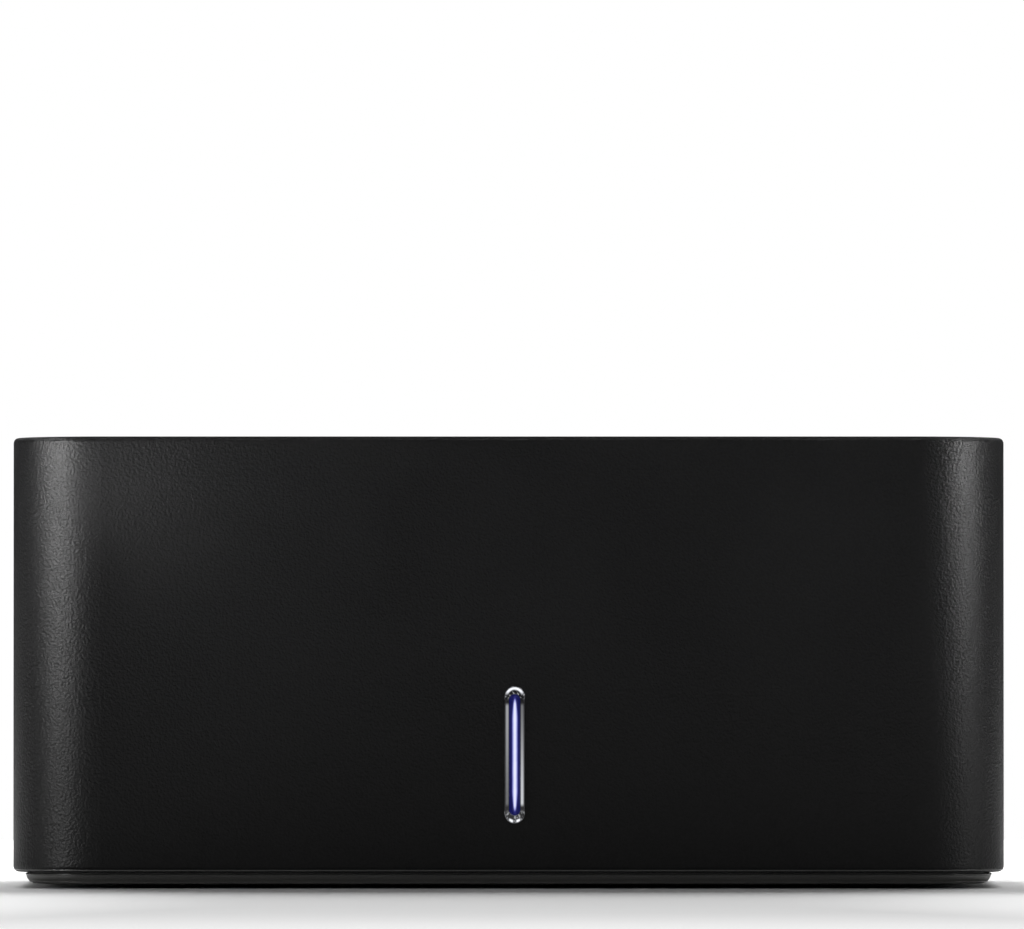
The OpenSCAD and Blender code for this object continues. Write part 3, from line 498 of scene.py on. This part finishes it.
def round_rectangle(low, high, inset, radius, z, steps=20):
    """Points round a rectangle with round corners, inset from a box."""
    points = []
    for turn, (sx, sy) in enumerate(((1, 1), (-1, 1), (-1, -1), (1, -1))):
        middle_x = (high.x if sx > 0 else low.x) - sx * (inset + radius)
        middle_y = (high.y if sy > 0 else low.y) - sy * (inset + radius)
        for k in range(steps + 1):
            a = math.pi / 2 * (turn + k / steps)
            points.append((middle_x + radius * math.cos(a), middle_y + radius * math.sin(a), z))
    return points


def edge_lines():
    """Fine lands along the housing's rim and along both edges of the base plate, glossy, with a lighter grey
    that paints highlight lines there.
    """
    low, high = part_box("housing")
    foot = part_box("base_plate")[0].z
    corner, sides = 12 * MM, 8
    for name, inset, z, radius, finish in (
            ("rim_land", 0.25 * MM, low.z + 0.37 * MM, 0.15 * MM, "rim_painted_highlight"),
            ("base_upper_land", 1.74 * MM, low.z - 0.3 * MM, 0.14 * MM, "edge_painted_highlight"),
            ("base_lower_land", 2.26 * MM, foot + 0.3 * MM, 0.14 * MM, "edge_painted_highlight")):
        path = round_rectangle(low, high, inset, corner - inset, z)
        new_piece(name, wire(name, path, radius, sides, True), "dock", finish)


def hinge(name):
    """Place of a joint's axis."""
    return Vector(next(j["pos_m"] for j in frame["record"]["behaviour"]["joints"] if j["name"] == name))


def bent(points, radius, steps=6):
    """A path through points, with a round bend at each inner one."""
    points = [Vector(point) for point in points]
    path = [points[0]]
    for before, point, after in zip(points, points[1:], points[2:]):
        back, on = (before - point), (after - point)
        cut = min(radius, back.length * 0.45, on.length * 0.45)
        start, end = point + back.normalized() * cut, point + on.normalized() * cut
        for k in range(steps + 1):
            s = k / steps
            path.append(start * (1 - s) ** 2 + point * 2 * s * (1 - s) + end * s ** 2)
    return path + [points[-1]]


def flap_spring(name, node, joint, flap, side):
    """A wound torsion spring: its curls and frame leg stay on the dock, its other leg goes with the flap."""
    axis = hinge(joint)
    r, half, pitch, wire_radius = 1.2 * MM, 3 * MM, 1 * MM, 0.2 * MM
    last_turn, step = 2160, 12  # degrees: six full curls

    def placed(points):
        return [axis + Vector((side * x, side * y, z)) for x, y, z in points]

    def curl(turn):
        a = math.radians(turn)
        return Vector((-half + pitch * turn / 360, -r * math.sin(a), -r * math.cos(a)))

    def curls(first, end):
        return [curl(turn) for turn in range(first, end, step)]

    flap_leg = bent([(-half, 8 * MM, -0.2 * MM), (-half, 1 * MM, -r), curl(0)], 0.8 * MM) + curls(12, 109)
    frame_leg = bent([curl(last_turn), (half, -1.1 * MM, -r - 0.1 * MM), (half, -1.8 * MM, -r - 0.9 * MM),
                      (half, -1.8 * MM, -r - 8 * MM)], 0.6 * MM)
    coil = curls(96, last_turn) + frame_leg
    for part, path, body in ((name + "_leg", flap_leg, flap), (name + "_coil", coil, "dock")):
        new_piece(part, wire(part, placed(path), wire_radius), body, "spring_steel", (node,))


def rocker_marks():
    """A bar and a ring, the usual marks of a power switch, raised by a hair on the rocker's two faces."""
    pivot = hinge("rocker_tilt")
    tilt, slope, out, up = math.radians(-9), math.radians(8.13), 3.51 * MM, 2.9 * MM
    sunk, proud, count = -0.05 * MM, 0.04 * MM, 48
    bar_radius, bar_half = 0.22 * MM, 0.95 * MM
    turns = [2 * math.pi * (k + 0.5) / count for k in range(count)]
    bar = [(bar_radius * math.cos(a), bar_radius * math.sin(a) + math.copysign(bar_half, math.sin(a)))
           for a in turns]
    bar_rows = [(bar, sunk), ([(x * 0.8, y * 0.95) for x, y in bar], proud)]
    ring_rows = [(circle(1.05 * MM, count), sunk), (circle(0.98 * MM, count), proud),
                 (circle(0.77 * MM, count), proud), (circle(0.7 * MM, count), sunk)]
    for name, side, outlines in (("rocker_bar", 1, bar_rows), ("rocker_ring", -1, ring_rows)):
        grid = bmesh.new()
        rows = [[grid.verts.new((x, height, y)) for x, y in outline] for outline, height in outlines]
        for here, there in zip(rows, rows[1:]):
            join_rings(grid, here, there)
        if outlines is bar_rows:
            grid.faces.new(rows[-1])
        bmesh.ops.recalc_face_normals(grid, faces=grid.faces)
        turn = (Matrix.Translation(pivot) @ Matrix.Rotation(tilt, 4, "X")
                @ Matrix.Translation((0, out, side * up)) @ Matrix.Rotation(-side * slope, 4, "X"))
        bmesh.ops.transform(grid, matrix=turn, verts=grid.verts)
        new_piece(name, mesh_of(grid, name), "rocker", "printed_white")


def soften(node, body, width, least=0.5 * MM, top_only=False):
    """A copy of a node with its longer sharp edges broken, all of them or only those round its top face."""
    crease, sharp = math.radians(12), math.radians(35)
    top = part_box(node)[1].z - 0.01 * MM
    grid = bmesh.new()
    grid.from_mesh(nodes[node].data)
    bmesh.ops.remove_doubles(grid, verts=grid.verts, dist=0.002 * MM)
    bmesh.ops.dissolve_limit(grid, angle_limit=math.radians(0.5), verts=grid.verts, edges=grid.edges)
    broken = grid.edges.layers.float.new("bevel_weight_edge")
    for edge in grid.edges:
        turn = edge.calc_face_angle(0.0)
        at_top = all(corner.co.z > top for corner in edge.verts)
        chosen = turn > sharp and edge.calc_length() > least and (at_top or not top_only)
        edge[broken] = 1.0 if chosen else 0.0
        edge.smooth = chosen or turn < crease
    name = node + "_softened"
    piece = new_piece(name, mesh_of(grid, name), body, slot_of[node], (node,))
    edges = piece.modifiers.new("broken_edges", "BEVEL")
    edges.limit_method = "WEIGHT"
    edges.width, edges.segments = width, 3
    shading = piece.modifiers.new("flat_faces", "WEIGHTED_NORMAL")
    shading.keep_sharp = True


edge_lines()
for node, width in (("switch_body", 0.15 * MM), ("inlet_body", 0.15 * MM), ("data_core", 0.1 * MM),
                    ("data_shell", 0.08 * MM), ("drive_connector", 0.15 * MM)):
    soften(node, "dock", width, least=0.3 * MM)
soften("switch_rocker", "rocker", 0.2 * MM)
for flap in ("main_flap", "small_flap"):
    soften(flap, flap, 0.2 * MM, top_only=True)
flap_spring("main_spring", "main_flap_spring", "main_flap_hinge", "main_flap", 1)
flap_spring("small_spring", "small_flap_spring", "small_flap_hinge", "small_flap", -1)
rocker_marks()


# Camera, floor and light

def aim(thing, place, target):
    """Puts a camera or light at a place, looking at a target."""
    thing.location = place
    thing.rotation_euler = (Vector(target) - Vector(place)).to_track_quat("-Z", "Y").to_euler()


def soft_box(name, place, target, size, power, beam=180.0, sheen=True, fill=True):
    """A rectangular studio light for sheen, fill or both, with a grid for a narrow beam."""
    data = bpy.data.lights.new(name, "AREA")
    data.shape = "RECTANGLE"
    data.size, data.size_y = size
    data.energy = power
    data.spread = math.radians(beam)
    light = bpy.data.objects.new(name, data)
    scene.collection.objects.link(light)
    aim(light, place, target)
    light.visible_camera = False
    light.visible_glossy = sheen
    light.visible_diffuse = fill


def corner_light(name, side, bearing, power, height, aim_height, size, beam=180.0, fill=True):
    """A light at one end of the front (-1 left, 1 right), swung by its bearing round that corner."""
    corner_x, corner_y, away = side * 53.5 * MM, -22 * MM, 0.22
    turn = math.radians(bearing)
    place = (corner_x + side * away * math.sin(turn), corner_y - away * math.cos(turn), height)
    soft_box(name, place, (corner_x, corner_y, aim_height), size, power, beam, fill=fill)


# The camera looks straight at the front and a little upwards, so that the object sits low in the picture
FRONT_Y = -34 * MM
VIEW_DISTANCE = 1.46
EYE_X, EYE_Z = 0.45 * MM, 27.4 * MM
AIM_Z = 55.7 * MM
LENS = 391.1

camera = bpy.data.objects.new("camera", bpy.data.cameras.new("camera"))
scene.collection.objects.link(camera)
camera.data.sensor_width = 36.0
camera.data.lens = LENS
camera.data.clip_end = 20.0
aim(camera, (EYE_X, FRONT_Y - VIEW_DISTANCE, EYE_Z), (EYE_X, FRONT_Y, AIM_Z))
scene.camera = camera


def background_rays(tree):
    """1 for the rays that show the background: straight, in a reflection or through something clear."""
    path = tree.nodes.new("ShaderNodeLightPath").outputs
    indirect = math_node(tree, "MAXIMUM", path["Is Glossy Ray"], path["Is Transmission Ray"])
    return math_node(tree, "MAXIMUM", path["Is Camera Ray"], indirect)


def make_floor():
    """Pale round floor, with painted light that whitens it away from the object and beside its ends."""
    radii, sides = (0.12, 0.25, 0.42), 96
    grid = bmesh.new()
    middle = grid.verts.new((0, 0, 0))
    loops = [[grid.verts.new((x, y, 0)) for x, y in circle(r, sides)] for r in radii]
    for k in range(sides):
        after = (k + 1) % sides
        grid.faces.new((middle, loops[0][k], loops[0][after]))
        for inner, outer in zip(loops, loops[1:]):
            grid.faces.new((inner[k], outer[k], outer[after], inner[after]))
    mesh = mesh_of(grid, "floor")
    floor = bpy.data.objects.new("floor", mesh)
    scene.collection.objects.link(floor)
    finish, tree, shader = new_finish("floor_paper")
    patches = placed_group(tree, HANDLING, 8.0).outputs[0]
    tree.links.new(two_tones(tree, patches, (0.88, 0.88, 0.88), (0.9, 0.9, 0.9)), shader.inputs["Base Color"])
    shader.inputs["Roughness"].default_value = 0.9
    shader.inputs["Specular IOR Level"].default_value = 0.1
    place = add(tree, "ShaderNodeSeparateXYZ")
    tree.links.new(tree.nodes.new("ShaderNodeTexCoord").outputs["Object"], place.inputs[0])
    off_x, off_y = (math_node(tree, "ABSOLUTE", place.outputs[axis]) for axis in "XY")
    # Emission seen by straight, reflected and clear rays paints light on the floor away from the object and
    # beside its ends; the floor near the object and in a band straight in front of it gets none, so it stays
    # darker there as painted shade
    past_end = math_node(tree, "MAXIMUM", math_node(tree, "SUBTRACT", off_x, 65 * MM), 0.0)
    past_front = math_node(tree, "MAXIMUM", math_node(tree, "SUBTRACT", off_y, 34 * MM), 0.0)
    gap = distance(tree, past_end, past_front)
    painted_light_aside = product(tree, step_between(tree, off_x, 30 * MM, 85 * MM), 0.7)
    away = math_node(tree, "MAXIMUM", step_between(tree, gap, 0.1, 0.3),
                     product(tree, painted_light_aside, step_between(tree, gap, 0.01, 0.06)))
    painted_floor_light = product(tree, away, background_rays(tree))
    tree.links.new(two_tones(tree, painted_floor_light, (0, 0, 0), (0.53, 0.53, 0.53)), shader.inputs["Emission Color"])
    shader.inputs["Emission Strength"].default_value = 1.0
    mesh.materials.append(finish)


def make_world():
    """White behind the object, dim in other reflections, and an even low light on the surfaces."""
    front_glow, rear_glow, even_light = 0.09, 0.03, 0.12
    world = bpy.data.worlds.new("studio")
    scene.world = world
    world.use_nodes = True
    tree = world.node_tree
    shade = tree.nodes["Background"]
    way = add(tree, "ShaderNodeSeparateXYZ")
    tree.links.new(tree.nodes.new("ShaderNodeTexCoord").outputs["Generated"], way.inputs[0])
    backdrop = step_between(tree, way.outputs["Y"], 0.9955, 0.9969)
    around = spread(tree, step_between(tree, way.outputs["Y"], 0.1, 0.75), front_glow, rear_glow)
    seen = background_rays(tree)
    straight = tree.nodes.new("ShaderNodeLightPath").outputs["Is Camera Ray"]
    shown = math_node(tree, "MAXIMUM", math_node(tree, "MAXIMUM", around, backdrop), straight)
    lit = product(tree, math_node(tree, "SUBTRACT", 1.0, seen), even_light)
    tree.links.new(math_node(tree, "ADD", product(tree, seen, shown), lit), shade.inputs["Strength"])
    shade.inputs["Color"].default_value = (1.0, 1.0, 1.0, 1.0)


make_floor()
make_world()

# Narrow lights for the bright upper half of each front corner, and broad ones for each side of the front
EDGE = {"height": 85 * MM, "aim_height": 78 * MM, "size": (0.06, 0.06), "beam": 26}
SIDE = {"height": 50 * MM, "aim_height": 50 * MM, "size": (0.07, 0.08)}
corner_light("left_edge", -1, 60, 0.0192, **EDGE)
corner_light("left_front", -1, 42, 0.008, **EDGE)
corner_light("left_side", -1, 78, 0.0037, **EDGE)
corner_light("left_fill", -1, 54, 0.105, **SIDE)
corner_light("left_sheen", -1, 57, 0.09, **SIDE, fill=False)
corner_light("right_edge", 1, 66, 0.0197, **EDGE)
corner_light("right_fill", 1, 70, 0.05, **SIDE)
corner_light("right_sheen", 1, 73, 0.034, **SIDE, fill=False)

# The front's left end, the main light from above and behind, and lights for single faces and edges
soft_box("left_near", (-0.057, -0.060, 0.055), (-0.049, -0.034, 0.054), (0.02, 0.014), 0.00054, beam=70)
soft_box("above_and_behind", (0.0, 0.34, 0.47), (0.0, 0.0, 0.0), (0.8, 0.5), 4.8, sheen=False)
soft_box("deck_sheen", (0.0, 0.55, 0.4), (0.0, 0.0, 0.06), (1.2, 0.14), 0.63, fill=False)
soft_box("base_sheen", (0.0, -0.16, 0.014), (0.0, -0.034, 0.01), (0.3, 0.02), 0.011, fill=False)
for name, side in (("left_rim", -1), ("right_rim", 1)):
    soft_box(name, (side * 0.0985, -0.035, 0.103), (side * 0.0595, -0.028, 0.059), (0.02, 0.02), 0.022,
             fill=False)
soft_box("top_edge", (0.0, -0.2, 0.36), (0.0, -0.01, 0.085), (0.6, 0.06), 0.05, beam=16)

scene.view_settings.view_transform = "Standard"
